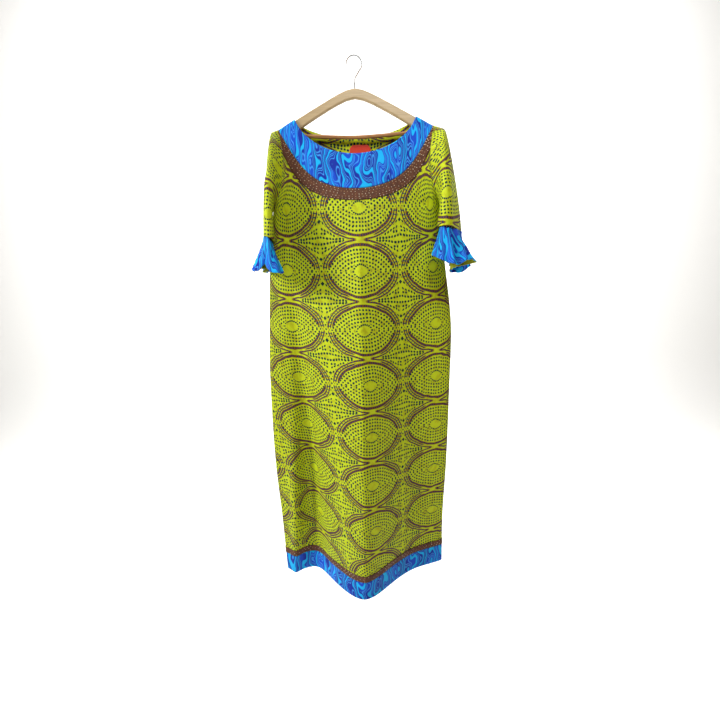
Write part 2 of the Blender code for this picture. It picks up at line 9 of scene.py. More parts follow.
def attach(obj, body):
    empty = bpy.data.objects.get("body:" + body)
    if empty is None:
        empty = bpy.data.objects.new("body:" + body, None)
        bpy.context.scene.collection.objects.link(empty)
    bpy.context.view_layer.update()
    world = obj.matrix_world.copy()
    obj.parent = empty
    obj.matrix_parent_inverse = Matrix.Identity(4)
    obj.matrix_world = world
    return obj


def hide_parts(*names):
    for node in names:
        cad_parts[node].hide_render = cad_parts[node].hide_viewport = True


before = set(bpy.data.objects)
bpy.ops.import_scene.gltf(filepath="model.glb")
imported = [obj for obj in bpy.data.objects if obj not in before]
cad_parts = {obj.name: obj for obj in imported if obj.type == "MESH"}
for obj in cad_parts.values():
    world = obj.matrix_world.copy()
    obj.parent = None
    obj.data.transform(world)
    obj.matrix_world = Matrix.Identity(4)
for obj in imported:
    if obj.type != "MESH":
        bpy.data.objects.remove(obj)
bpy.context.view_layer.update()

print("frame loaded")

# The dress's form is the same as in the part's source: metres, the front faces -Y, z is 0 under the hook.
cut = {
    "shoulderTop": -0.0615, "shoulderSlope": -0.54, "neckHalf": 0.167, "shoulderHalf": 0.2126,
    "foldOver": 0.012, "underarm": -0.378, "hem": -1.546, "hemDip": 0.014, "hemDipWidth": 0.1125,
    "liftRight": 0.005, "liftStart": -0.80, "swingRight": 0.012, "bandHeight": 0.062, "trimHeight": 0.0205,
    "neckBottom": -0.250, "neckReach": 0.175, "backNeckBottom": -0.197, "backNeckReach": 0.185,
    "yokeBottom": -0.344, "yokeReach": 0.985, "trimBottom": -0.3755, "trimReach": 0.93,
    "seam": 0.0003, "trimRow": 0.4,  # how far down the armhole the neck trim ends
}
bodyForm = {
    "height": (-1.567, -1.36, -1.19, -1.02, -0.87, -0.72, -0.56, -0.45,
               -0.378, -0.33, -0.27, -0.215, -0.1763, -0.15),
    "middle": (-0.01, -0.0125, -0.0125, -0.011, -0.008, -0.003, -0.006, -0.005,
               -0.003, -0.001, 0.0, 0.0, 0.0, 0.0),
    "halfWidth": (0.265, 0.2685, 0.2765, 0.279, 0.279, 0.2745, 0.259, 0.244,
                  0.237, 0.215, 0.2015, 0.2045, 0.2126, 0.2126),
    "front": (0.018, 0.016, 0.016, 0.018, 0.02, 0.022, 0.024, 0.026,
              0.026, 0.023, 0.017, 0.009, 0.0, 0.0),
    "back": (0.03, 0.032, 0.034, 0.034, 0.034, 0.032, 0.03, 0.026,
             0.022, 0.018, 0.012, 0.006, 0.0, 0.0),
    "ridge": (0.102, 0.0905, 0.08, 0.068, 0.06, 0.05, 0.034, 0.025,
              0.018, 0.012, 0.006, 0.002, 0.0, 0.0),
    "ridgeX": (-0.015, -0.01, -0.008, -0.006, -0.002, 0.002, 0.004, 0.004,
               0.004, 0.004, 0.004, 0.004, 0.004, 0.004),
    "ridgeWidth": (0.109, 0.1155, 0.12, 0.128, 0.135, 0.14, 0.145, 0.15,
                   0.15, 0.15, 0.15, 0.15, 0.15, 0.15),
}
sleeveForm = {
    "right": {
        "ring": range(7),
        "outerOut": (0.2126, 0.23, 0.2455, 0.256, 0.269, 0.279, 0.286),
        "outerZ": (-0.1763, -0.183, -0.196, -0.244, -0.322, -0.395, -0.462),
        "innerOut": (0.234, 0.2375, 0.238, 0.237, 0.234, 0.231, 0.229),
        "innerZ": (-0.378, -0.384, -0.391, -0.403, -0.421, -0.439, -0.455),
        "front": (0.028, 0.04, 0.058, 0.076, 0.092, 0.104, 0.114),
        "rear": (0.019, 0.023, 0.025, 0.024, 0.026, 0.028, 0.03),
        "lean": (0.0, 0.005, 0.011, 0.017, 0.023, 0.028, 0.03),
    },
    "left": {
        "ring": range(7),
        "outerOut": (0.2126, 0.223, 0.232, 0.241, 0.251, 0.259, 0.2635),
        "outerZ": (-0.1763, -0.182, -0.195, -0.244, -0.325, -0.4, -0.466),
        "innerOut": (0.24, 0.243, 0.244, 0.243, 0.241, 0.2395, 0.238),
        "innerZ": (-0.378, -0.385, -0.393, -0.408, -0.432, -0.458, -0.484),
        "front": (0.028, 0.042, 0.064, 0.086, 0.106, 0.122, 0.134),
        "rear": (0.019, 0.021, 0.02, 0.018, 0.017, 0.018, 0.019),
        "lean": (0.0, 0.003, 0.007, 0.011, 0.014, 0.016, 0.017),
    },
}
flounceForm = {
    "right": {
        "turn": (180, 152, 128, 106, 84, 60, 36, 16, -1, -12, -26, -46, -68, -90, -114, -142, -166),
        "out": (0.246, 0.201, 0.206, 0.232, 0.26, 0.29, 0.317, 0.297, 0.26,
                0.255, 0.288, 0.317, 0.314, 0.29, 0.296, 0.272, 0.264),
        "y": (-0.045, -0.075, -0.112, -0.126, -0.124, -0.116, -0.098, -0.082, -0.069,
              -0.055, -0.044, -0.024, 0.008, 0.016, 0.042, 0.046, 0.012),
        "drop": (0.085, 0.072, 0.08, 0.092, 0.097, 0.083, 0.088, 0.094, 0.102,
                 0.113, 0.113, 0.098, 0.098, 0.1, 0.1, 0.098, 0.092),
    },
    "left": {
        "turn": (180, 156, 134, 112, 93, 78, 61, 45, 28, 6, -18, -44, -70, -98, -122, -150),
        "out": (0.267, 0.22, 0.204, 0.209, 0.229, 0.2405, 0.25, 0.2605, 0.2765,
                0.291, 0.29, 0.274, 0.288, 0.294, 0.289, 0.278),
        "y": (-0.04, -0.082, -0.116, -0.144, -0.148, -0.138, -0.121, -0.13, -0.122,
              -0.098, -0.062, -0.045, -0.012, 0.012, 0.031, 0.02),
        "drop": (0.073, 0.078, 0.083, 0.087, 0.087, 0.08, 0.069, 0.083, 0.091,
                 0.088, 0.083, 0.081, 0.08, 0.079, 0.078, 0.076),
    },
}
frontFolds = {  # a positive depth stands out of the dress
    "centreCrease": {"top": -0.36, "x": (0.002, -0.012), "width": (0.024, 0.026), "depth": 0.002},
    "leftValley": {"top": -0.50, "x": (-0.170, -0.177), "width": (0.045, 0.049), "depth": -0.042},
    "leftRidge": {"top": -0.85, "x": (-0.212, -0.2455), "width": (0.030, 0.0175), "depth": 0.030},
    "rightHollow": {"top": -0.60, "x": (0.150, 0.160), "width": (0.045, 0.040), "depth": -0.004},
}
backFolds = {
    "leftWave": {"top": -0.45, "x": (-0.100, -0.130), "width": (0.060, 0.055), "depth": 0.022},
    "rightWave": {"top": -0.40, "x": (0.095, 0.120), "width": (0.060, 0.050), "depth": 0.026},
    "middleHollow": {"top": -0.55, "x": (0.000, -0.010), "width": (0.050, 0.045), "depth": -0.012},
}


def smoothCurve(places, values, at):
    if at <= places[0]:
        return values[0]
    if at >= places[-1]:
        return values[-1]
    k = 0
    while at > places[k + 1]:
        k += 1
    span = places[k + 1] - places[k]

    def slope(i):
        low = max(i - 1, 0)
        high = min(i + 1, len(places) - 1)
        if (low < i and values[low] == values[i]) or (high > i and values[high] == values[i]):
            return 0.0
        return (values[high] - values[low]) / (places[high] - places[low])

    t = (at - places[k]) / span
    start = (1 + 2 * t) * (1 - t) ** 2 * values[k] + t * (1 - t) ** 2 * span * slope(k)
    return start + t * t * (3 - 2 * t) * values[k + 1] + t * t * (t - 1) * span * slope(k + 1)


def smoothStep(t):
    t = min(max(t, 0.0), 1.0)
    return t * t * (3 - 2 * t)


def between(high, low, part):
    return high + (low - high) * part


@lru_cache(maxsize=None)
def bodyAt(z):
    return {key: smoothCurve(bodyForm["height"], row, z) for key, row in bodyForm.items()}


def shoulderLine(x):
    return cut["shoulderTop"] + cut["shoulderSlope"] * abs(x)


shoulder = shoulderLine(cut["shoulderHalf"])


def foldDepth(folds, x, z):
    total = 0.0
    for fold in folds.values():
        part = min(max((fold["top"] - z) / (fold["top"] - cut["hem"]), 0.0), 1.05)
        middle = between(*fold["x"], part)
        width = between(*fold["width"], part)
        total += fold["depth"] * smoothStep(part / 0.6) * math.exp(-((x - middle) / width) ** 2)
    return total


def surfaceY(side, x, z):  # side is -1 for the front and 1 for the back
    form = bodyAt(round(z, 5))
    across = min(max((x - form["middle"]) / form["halfWidth"], -1.0), 1.0)
    closing = min(max((shoulder - z) / (shoulder - cut["underarm"]), 0.0), 1.0)
    over = min(max((shoulderLine(x) - z) / cut["foldOver"], 0.0), 1.0)
    depth = cut["foldOver"] * math.sqrt(1 - (1 - over) ** 2)
    if side < 0:
        depth += form["front"] + form["ridge"] * math.exp(-((x - form["ridgeX"]) / form["ridgeWidth"]) ** 2)
        depth += foldDepth(frontFolds, x, z)
    else:
        depth += form["back"] + foldDepth(backFolds, x, z)
    swing = cut["swingRight"] * smoothStep((across - 0.4) / 0.6) * smoothStep((-0.9 - z) / 0.6)
    return side * (cut["seam"] / 2 + depth * math.sqrt(max(1 - (closing * across) ** 2, 0.0))) + swing


def acrossPoint(side, turn, z):
    form = bodyAt(round(z, 5))
    across = math.sin(turn * math.pi / 2)
    x = form["middle"] + form["halfWidth"] * across
    drop = (cut["liftStart"] - z) / (cut["liftStart"] - cut["hem"])
    lift = cut["liftRight"] * smoothStep(2 * across - 1) * smoothStep(drop)
    return Vector((x, surfaceY(side, x, z), z + lift))


def scoop(across, bottom, end, reach):
    rise = (end - bottom) / (1 - math.sqrt(1 - reach ** 2))
    return bottom + rise * (1 - math.sqrt(max(1 - (reach * across) ** 2, 0.0)))


def neckEdge(x, bottom, reach):
    return scoop(x / cut["neckHalf"], bottom, shoulderLine(cut["neckHalf"]), cut["neckHalf"] / reach)


def armholeHeight(row):  # row runs from 0 at the shoulder to 1 at the underarm
    return between(shoulder, cut["underarm"], (1 - math.cos(math.pi * row)) / 2)


def yokeEdge(across):
    return scoop(across, cut["yokeBottom"], shoulder, cut["yokeReach"])


def trimEdge(across):
    return scoop(across, cut["trimBottom"], armholeHeight(cut["trimRow"]), cut["trimReach"])


def hemEdge(side, across):
    if side > 0:
        return cut["hem"]
    x = across * bodyForm["halfWidth"][0]
    return cut["hem"] - cut["hemDip"] * math.exp(-(x / cut["hemDipWidth"]) ** 2)


def backTop(across):
    z = shoulderLine(across * cut["shoulderHalf"])
    for _ in range(6):
        form = bodyAt(round(z, 5))
        x = form["middle"] + form["halfWidth"] * across
        z = shoulderLine(x)
        if abs(x) < cut["neckHalf"]:
            z = neckEdge(x, cut["backNeckBottom"], cut["backNeckReach"])
    return z


def bandTop(side, across):
    return hemEdge(side, across) + cut["bandHeight"]


def bodyPoint(side, turn, high, low, part):
    across = math.sin(turn * math.pi / 2)
    return acrossPoint(side, turn, between(high(across), low(across), part))


def frontPoint(u, v):
    return bodyPoint(-1, 2 * u - 1, yokeEdge, lambda a: bandTop(-1, a), v)


def neckTrimPoint(u, v):
    across = math.sin((2 * u - 1) * math.pi / 2)
    edge = (armholeHeight(cut["trimRow"] * v) - shoulder) / (armholeHeight(cut["trimRow"]) - shoulder)
    part = between(v, edge, across ** 4)
    return acrossPoint(-1, 2 * u - 1, between(yokeEdge(across), trimEdge(across), part))


def yokePoint(u, v):
    across = math.sin((2 * u - 1) * math.pi / 2)
    low = acrossPoint(-1, 2 * u - 1, yokeEdge(across))
    topX = cut["neckHalf"] * across
    topZ = neckEdge(topX, cut["neckBottom"], cut["neckReach"])
    part = v * (1 - (cut["seam"] + 0.0006 * across ** 8) / math.hypot(low.x - topX, low.z - topZ))
    x, z = between(topX, low.x, part), between(topZ, low.z, part)
    return Vector((x, surfaceY(-1, x, z), z))


def backPoint(u, v):
    return bodyPoint(1, 1 - 2 * u, backTop, lambda a: bandTop(1, a), v)


def stripPoint(side, top, low):  # a strip round the hem, between two heights above the hem's edge
    def place(u, v):
        turn = (2 * u - 1) * -side
        return bodyPoint(side, turn, lambda a: hemEdge(side, a) + top, lambda a: hemEdge(side, a) + low, v)
    return place


def hemTrimPoint(side):
    return stripPoint(side, cut["bandHeight"] + cut["trimHeight"], cut["bandHeight"])


def hemBandPoint(side):
    return stripPoint(side, cut["bandHeight"] - cut["seam"], 0.0)


def armholePoint(side, angle):
    z = between(shoulder, cut["underarm"], (1 - math.cos(angle)) / 2)
    place = acrossPoint(-1 if math.sin(angle) >= 0 else 1, side, z)
    place.x += side * cut["seam"] * 1.5
    return place


def sleeveTube(side, form, angle, ring):
    row = {key: smoothCurve(form["ring"], values, ring) for key, values in form.items()}
    along = (math.cos(angle) + 1) / 2
    over = math.sin(angle)
    out = between(row["innerOut"], row["outerOut"], along) - row["lean"] * over
    z = between(row["innerZ"], row["outerZ"], along)
    y = (row["rear"] - row["front"]) / 2 - (row["front"] + row["rear"]) / 2 * over
    return Vector((side * out, y, z))


def sleevePoint(side, form, angle, ring):
    fit = armholePoint(side, angle) - sleeveTube(side, form, angle, 0)
    return sleeveTube(side, form, angle, ring) + fit * (1 - smoothStep(ring / 4.0))


def flouncePoint(side, sleeve, form, angle, ring):
    places = [-turn for turn in form["turn"]]
    round3 = [p - 360 for p in places] + places + [p + 360 for p in places]
    at = -math.degrees(angle)
    while at > 180:
        at -= 360
    out, y, drop = (smoothCurve(round3, form[key] * 3, at) for key in ("out", "y", "drop"))
    seam = sleevePoint(side, sleeve, angle, sleeve["ring"][-1])
    seam.z -= cut["seam"] * 1.3
    place = seam.lerp(Vector((side * out, y, 0.0)), ring ** 1.25)
    place.z = seam.z - drop * ring
    return place


# Creases pressed or hung into the cloth, laid over the form: from one place to another, how wide, how
# deep (a trough is negative), and whether its ridge is sharp
frontCreases = (
    ((0.002, -0.37), (-0.013, -1.60), 0.085, 0.0120, True),
    ((-0.196, -0.40), (-0.182, -1.50), 0.020, -0.0065, False),
    ((-0.150, -0.70), (-0.118, -1.52), 0.020, 0.0048, False),
    ((0.120, -0.62), (0.165, -1.40), 0.026, -0.0036, False),
    ((0.060, -0.90), (0.085, -1.50), 0.018, 0.0016, False),
    ((-0.080, -0.70), (-0.105, -1.45), 0.020, -0.0014, False),
    ((0.225, -0.42), (0.150, -0.56), 0.012, -0.0020, False),
    ((-0.225, -0.42), (-0.150, -0.55), 0.012, -0.0020, False),
)
backCreases = (
    ((0.006, -0.42), (-0.004, -1.54), 0.026, 0.0030, True),
    ((-0.165, -0.55), (-0.185, -1.50), 0.018, -0.0030, False),
    ((0.150, -0.60), (0.175, -1.50), 0.020, -0.0030, False),
    ((0.060, -0.80), (0.050, -1.45), 0.016, 0.0018, False),
    ((-0.060, -0.70), (-0.070, -1.48), 0.018, 0.0018, False),
    ((0.225, -0.42), (0.140, -0.58), 0.012, -0.0020, False),
    ((-0.225, -0.42), (-0.145, -0.57), 0.012, -0.0020, False),
)


def creaseHeight(creases, x, z):
    total = 0.0
    for (x1, z1), (x2, z2), width, depth, sharp in creases:
        longer = math.hypot(x2 - x1, z2 - z1)
        along = ((x - x1) * (x2 - x1) + (z - z1) * (z2 - z1)) / longer ** 2
        away = ((x - x1) * (z2 - z1) - (z - z1) * (x2 - x1)) / longer
        if sharp:
            shape = math.exp(-abs(away) / width * 2.2)
        else:
            wave = 0.35 * width * noise.noise(Vector((3.0 * z, 9.0 * x1, 0.3)))
            shape = math.exp(-((away + wave) / width) ** 2)
        fade = smoothStep(along / 0.15) * smoothStep((1.0 - along) / 0.12)
        uneven = 1.0 + 0.45 * noise.noise(Vector((0.0, 7.0 * x2, 6.0 * z)))
        total += depth * uneven * shape * fade
    return total


def bodyCreases(side):
    creases = frontCreases if side < 0 else backCreases

    def height(place):
        form = bodyAt(round(place.z, 4))
        across = min(abs((place.x - form["middle"]) / form["halfWidth"]), 1.0)
        soft = 0.0012 * noise.noise(Vector((place.x * 9, side, place.z * 5)))
        return (creaseHeight(creases, place.x, place.z) + soft) * (1 - across ** 10)
    return height


def finishMesh(name, mesh, material):
    data = bpy.data.meshes.new(name)
    mesh.to_mesh(data)
    mesh.free()
    data.materials.append(material)
    piece = bpy.data.objects.new(name, data)
    bpy.context.collection.objects.link(piece)
    return piece


# Makes a cloth piece: a grid laid on the form and creased, with its flat size on one UV map and the print on
# another
def makeCloth(name, place, columns, rows, look, creases=None, printAt=None, tube=None):
    mesh = bmesh.new()
    bmesh.ops.create_grid(mesh, x_segments=columns, y_segments=rows, size=1.0)
    grid = {}
    for vert in mesh.verts:
        grid[round((vert.co.x + 1) / 2 * columns), round((1 - vert.co.y) / 2 * rows)] = vert
    for (i, j), vert in grid.items():
        vert.co = place(i / columns, j / rows)
    mesh.normal_update()
    if creases:
        heights = {key: creases(vert.co) for key, vert in grid.items()}
        for key, vert in grid.items():
            vert.co += vert.normal * heights[key]
        mesh.normal_update()
    start = columns // 2
    flat = {}
    for j in range(rows + 1):
        flat[start, j] = 0.0 if tube else grid[start, j].co.x
        for i in range(start + 1, columns + 1):
            flat[i, j] = flat[i - 1, j] + (grid[i, j].co - grid[i - 1, j].co).length
        for i in range(start - 1, -1, -1):
            flat[i, j] = flat[i + 1, j] - (grid[i, j].co - grid[i + 1, j].co).length
    down = {}
    for i in range(columns + 1):
        down[i, 0] = 0.0
        for j in range(1, rows + 1):
            down[i, j] = down[i, j - 1] + (grid[i, j].co - grid[i, j - 1].co).length
    wide = max(flat[columns, j] - flat[0, j] for j in range(rows + 1))
    high = max(down[i, rows] for i in range(columns + 1))
    if tube:  # a tube's cloth is taken up evenly in every row, so that its print runs down it
        even = flat[columns, rows // 2] - flat[0, rows // 2]
        flat = {(i, j): even * (i / columns - tube) for i, j in flat}
        down = {(i, j): down[i, j] - down[i, rows] - grid[i, rows].co.z for i, j in down}
    clothMap = mesh.loops.layers.uv.new("cloth")
    printMap = mesh.loops.layers.uv.new("print")
    keys = {vert: key for key, vert in grid.items()}
    for face in mesh.faces:
        face.smooth = True
        for loop in face.loops:
            key = keys[loop.vert]
            loop[clothMap].uv = (flat[key], -down[key])
            if printAt:
                loop[printMap].uv = printAt(flat[key], down[key], loop.vert.co)
    if look.get("lift"):
        normals = {vert: vert.normal.copy() for vert in mesh.verts}
        for vert in mesh.verts:
            vert.co += normals[vert] * look["lift"]
    if tube:
        bmesh.ops.remove_doubles(mesh, verts=mesh.verts, dist=0.00002)
    area = sum(face.calc_area() for face in mesh.faces)
    piece = finishMesh(name, mesh, look["material"])
    wall = piece.modifiers.new("cloth thickness", "SOLIDIFY")
    wall.thickness = look["thickness"]
    wall.offset = -1.0
    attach(piece, "root")
    return piece, (round(wide, 3), round(high, 3)), area


def linear(hexColour):
    parts = [int(hexColour[i:i + 2], 16) / 255 for i in (1, 3, 5)]
    return tuple(p / 12.92 if p <= 0.04045 else ((p + 0.055) / 1.055) ** 2.4 for p in parts) + (1.0,)


def openOutput(node):
    return next(out for out in node.outputs if out.enabled)


# Adds a node: settings are its properties, values go to its open sockets in order, or to named ones
def addNode(tree, kind, *values, **settings):
    kind, _, operation = kind.partition(" ")
    node = tree.nodes.new("ShaderNode" + kind)
    if operation:
        node.operation = operation
    named = settings.pop("sockets", {})
    for key, value in settings.items():
        setattr(node, key, value)
    slots = [socket for socket in node.inputs if socket.enabled]
    pairs = list(zip(slots, values)) + [(node.inputs[key], value) for key, value in named.items()]
    for socket, value in pairs:
        if isinstance(value, bpy.types.Node):
            value = openOutput(value)
        if isinstance(value, bpy.types.NodeSocket):
            tree.links.new(value, socket)
        elif value is not None:
            socket.default_value = value
    return node


def startMaterial(name):
    material = bpy.data.materials.new(name)
    material.use_nodes = True
    tree = material.node_tree
    return material, tree.nodes["Principled BSDF"], partial(addNode, tree)


def wire(node, shader, socket):
    shader.id_data.links.new(openOutput(node), shader.inputs[socket])


# Threads of 0.3 mm are too fine to show, so the weave is drawn three times as coarse
weaveLook = {"thread": 0.9, "strength": 0.12, "deep": 0.0002}


def addWeave(add, shader, cloth):
    weave = add("TexNoise", cloth, 1000 / weaveLook["thread"], 2.0, noise_dimensions="2D")
    bump = add("Bump", sockets={"Strength": weaveLook["strength"], "Distance": weaveLook["deep"],
                                "Height": weave.outputs["Fac"]})
    wire(bump, shader, "Normal")


# Wax print cotton: plain-weave cotton, roller-printed with wax resist and given a faint glaze. The eye sees a
# flat lime ground a little mottled, crisp small dots that wander by hand, and crackle-brown outlines.
def makeWaxPrint():
    look = {  # colours, then sizes in millimetres; an oval is its half width, half height and squareness
        "ground": "#bccc1a", "mottle": "#a9ac14",
        "dots": "#00302f", "outline": "#70460f", "blueDots": "#1b2c52",
        "wide": 238.0, "high": 157.0, "dot": 2.95, "pitch": 9.2, "wander": 1.3, "edge": 0.35,
        "ringCentre": 63.4, "ringRadius": 118.4, "ringStep": 9.7, "ringsIn": 5.0,
        "pupil": (23.5, 17.0, 1.6), "pupilDots": 18, "pupilDot": 2.6, "pupilClear": 5.0,
        "arc": {"oval": (98.0, 67.0, 1.76), "half": 4.0, "beat": 9.0, "dot": 2.9, "low": 8.0, "start": 0},
        "inner": {"oval": (105.0, 72.4, 1.88), "half": 2.3, "beat": 8.6, "dot": 2.4, "low": 2.0, "start": 36.0},
        "outer": {"oval": (112.5, 77.4, 2.0), "half": 2.4, "beat": 8.6, "dot": 2.4, "low": 1.0, "start": 7.0},
        "ovalReach": 90.0,  # how far out the rounds of dots are spaced
        "fade": {"down": 7.0, "across": 9.0, "thin": 2.6},
        "between": {"oval": (108.8, 75.0, 1.94), "beat": 8.6, "dot": 1.5, "start": 58.0},
        "star": {"bell": 34.0, "rise": 5.3, "base": 3.1, "clear": 4.0, "tip": 47.0, "tipDot": 5.8},
        "knot": {"pitch": 13.2, "dot": 3.9, "reach": 24.0},
    }
    material, shader, add = startMaterial("glazed wax print cotton")
    cloth = add("UVMap", uv_map="cloth")
    printed = add("UVMap", uv_map="print")
    # the roller wanders by about a millimetre from one dot to the next
    wander = add("TexNoise", cloth, 26.0, 1.0, noise_dimensions="2D")
    centred = add("VectorMath SUBTRACT", wander.outputs["Color"], (0.5, 0.5, 0.5))
    step = (look["wander"] * 5 / look["wide"], look["wander"] * 5 / look["high"], 0.0)
    moved = add("VectorMath MULTIPLY_ADD", centred, step, printed)
    cell = add("VectorMath WRAP", moved, (0.5, 0.5, 0.5), (-0.5, -0.5, -0.5))
    folded = add("VectorMath ABSOLUTE", cell)
    sized = add("VectorMath MULTIPLY", folded, (look["wide"], look["high"], 0.0))
    place = add("SeparateXYZ", sized)
    x, y = place.outputs[0], place.outputs[1]

    def roundDot(across, down, size):  # below 0 inside the dot, in millimetres from its edge
        reach = add("VectorMath LENGTH", add("CombineXYZ", across, down, 0.0))
        return add("Math SUBTRACT", reach.outputs[1], size)

    # rings of dots: arcs about a centre below the oval, meeting in points at its left and right
    lifted = add("Math ADD", y, look["ringCentre"])
    radius = add("VectorMath LENGTH", add("CombineXYZ", x, lifted, 0.0)).outputs[1]
    turn = add("Math ARCTAN2", x, lifted)
    depth = add("Math SUBTRACT", look["ringRadius"], radius)
    steps = add("Math DIVIDE", depth, look["ringStep"])
    ring = add("Math MAXIMUM", add("Math ROUND", steps), 0.0)
    ring = add("Math MINIMUM", ring, look["ringsIn"])
    ringDepth = add("Math MULTIPLY", ring, look["ringStep"])
    off = add("Math SUBTRACT", depth, ringDepth)
    ringSize = add("Math SUBTRACT", look["ringRadius"], ringDepth)
    arc = add("Math MULTIPLY", turn, ringSize)
    along = add("Math WRAP", arc, look["pitch"] / 2, -look["pitch"] / 2)
    rings = roundDot(along, off, look["dot"])

    # a rounded oval about the middle: its size is 1 on the curve, and away is how far out a place lies
    flatPlace = add("CombineXYZ", x, y, 0.0)
    fromMiddle = add("VectorMath LENGTH", flatPlace).outputs[1]
    around = add("Math ARCTAN2", y, x)

    def ovalAway(wide, high, power):
        share = add("VectorMath MULTIPLY", flatPlace, (1 / wide, 1 / high, 0.0))
        share = add("VectorMath POWER", share, (power,) * 3)
        total = add("VectorMath DOT_PRODUCT", share, (1.0, 1.0, 0.0)).outputs[1]
        reach = add("Math DIVIDE", fromMiddle, add("Math POWER", total, 1 / power))
        return add("Math SUBTRACT", fromMiddle, reach)

    def dotsAlong(away, beat, size):  # a row of round dots on a curve, a beat apart
        arc = add("Math MULTIPLY", around, look["ovalReach"])
        shift = add("Math WRAP", arc, beat / 2, -beat / 2)
        return roundDot(shift, away, size)

    def fadeBelow(shape, along, end, over):  # thins a line away towards its end
        short = add("Math SUBTRACT", end + over, along)
        short = add("Math MAXIMUM", short, 0.0)
        return add("Math MULTIPLY_ADD", short, look["fade"]["thin"] / over, shape)

    # the plain pupil in the middle, with its own round of dots
    pupilAway = ovalAway(*look["pupil"])
    half = math.pi / look["pupilDots"]
    pupilStep = add("Math WRAP", around, half, -half)
    pupilAlong = add("Math MULTIPLY", pupilStep, fromMiddle)
    pupil = roundDot(pupilAlong, pupilAway, look["pupilDot"])
    clear = add("Math SUBTRACT", look["pupilClear"], pupilAway)
    rings = add("Math MAXIMUM", rings, clear)
    dots = add("Math MINIMUM", rings, pupil)

    # the thick arc above and below each oval, then two fine lines; the outer one closes up into a knot above
    # and below, and all have blue dots printed over them
    outline, blueDots = None, None
    for name in ("arc", "inner", "outer"):
        line = look[name]
        away = ovalAway(*line["oval"])
        near = add("Math ABSOLUTE", away)
        band = add("Math SUBTRACT", near, line["half"])
        bead = dotsAlong(away, line["beat"], line["dot"])
        marks = []
        for mark in (band, bead):
            mark = fadeBelow(mark, y, line["low"], look["fade"]["down"])
            marks.append(fadeBelow(mark, x, line["start"], look["fade"]["across"]) if line["start"] else mark)
        outline = marks[0] if outline is None else add("Math MINIMUM", outline, marks[0])
        blueDots = marks[1] if blueDots is None else add("Math MINIMUM", blueDots, marks[1])
    outerAway = away
    line = look["between"]
    small = dotsAlong(ovalAway(*line["oval"]), line["beat"], line["dot"])
    small = add("Math MAXIMUM", small, add("Math SUBTRACT", line["start"], x))
    dots = add("Math MINIMUM", dots, small)

    # the star between four ovals: rows of dots round a plain cross, a diamond dot at its tips
    starLook, knotLook = look["star"], look["knot"]
    p = add("Math SUBTRACT", look["wide"] / 2, x)
    q = add("Math SUBTRACT", look["high"] / 2, y)
    bell = add("Math POWER", add("Math DIVIDE", p, starLook["bell"]), 2.0)
    bell = add("Math EXPONENT", add("Math MULTIPLY", bell, -1.0))
    bell = add("Math MULTIPLY_ADD", bell, starLook["rise"], starLook["base"])
    slopes = (  # row height from its slope and start, first dot, pitch, dot size, last dot
        (bell, None, 4.7, 9.4, 3.4, 77.0),
        (-0.10, 19.6, 8.0, 9.2, 3.2, 21.0),
        (-0.44, 32.6, 8.0, 9.2, 3.1, 50.0),
        (-0.68, 50.4, 11.0, 9.0, 3.2, 60.0),
    )
    star = None
    for slope, high, first, pitch, size, last in slopes:
        row = slope if high is None else add("Math MULTIPLY_ADD", p, slope, high)
        rise = add("Math SUBTRACT", q, row)
        shift = add("Math SUBTRACT", p, first)
        shift = add("Math WRAP", shift, pitch / 2, -pitch / 2)
        dot = roundDot(shift, rise, size)
        low = add("Math SUBTRACT", first - pitch / 2, p)
        high = add("Math SUBTRACT", p, last)
        dot = add("Math MAXIMUM", dot, add("Math MAXIMUM", low, high))
        star = dot if star is None else add("Math MINIMUM", star, dot)
    diamond = add("Math ABSOLUTE", add("Math SUBTRACT", q, starLook["tip"]))
    diamond = add("Math ADD", diamond, p)
    diamond = add("Math SUBTRACT", diamond, starLook["tipDot"])
    star = add("Math MINIMUM", star, diamond)
    lattice = []
    for operation in ("ADD", "SUBTRACT"):
        slant = add("Math " + operation, p, y)
        lattice.append(add("Math WRAP", slant, knotLook["pitch"] / 2, -knotLook["pitch"] / 2))
    above = add("Math SUBTRACT", y, knotLook["reach"])
    knot = add("Math MAXIMUM", roundDot(*lattice, knotLook["dot"]), above)
    star = add("Math MINIMUM", star, knot)
    starCut = add("Math SUBTRACT", starLook["clear"], outerAway)
    star = add("Math MAXIMUM", star, starCut)
    dots = add("Math MINIMUM", dots, star)

    # colours laid one over the other, each with an edge a third of a millimetre soft
    mottle = add("TexNoise", cloth, 60.0, 3.0, noise_dimensions="2D")
    blot = add("MapRange", mottle.outputs["Fac"], 0.42, 0.75, 0.0, 1.0, interpolation_type="SMOOTHSTEP")
    colour = add("Mix", blot, linear(look["ground"]), linear(look["mottle"]), data_type="RGBA")
    edge = look["edge"]
    for shape, ink in ((outline, "outline"), (dots, "dots"), (blueDots, "blueDots")):
        cover = add("MapRange", shape, -edge, edge, 1.0, 0.0, interpolation_type="SMOOTHSTEP")
        colour = add("Mix", cover, colour, linear(look[ink]), data_type="RGBA")
    wire(colour, shader, "Base Color")
    addWeave(add, shader, cloth)
    shader.inputs["Roughness"].default_value = 0.62
    shader.inputs["Specular IOR Level"].default_value = 0.2
    return material


waxPrint = makeWaxPrint()
print("wax print mixed")


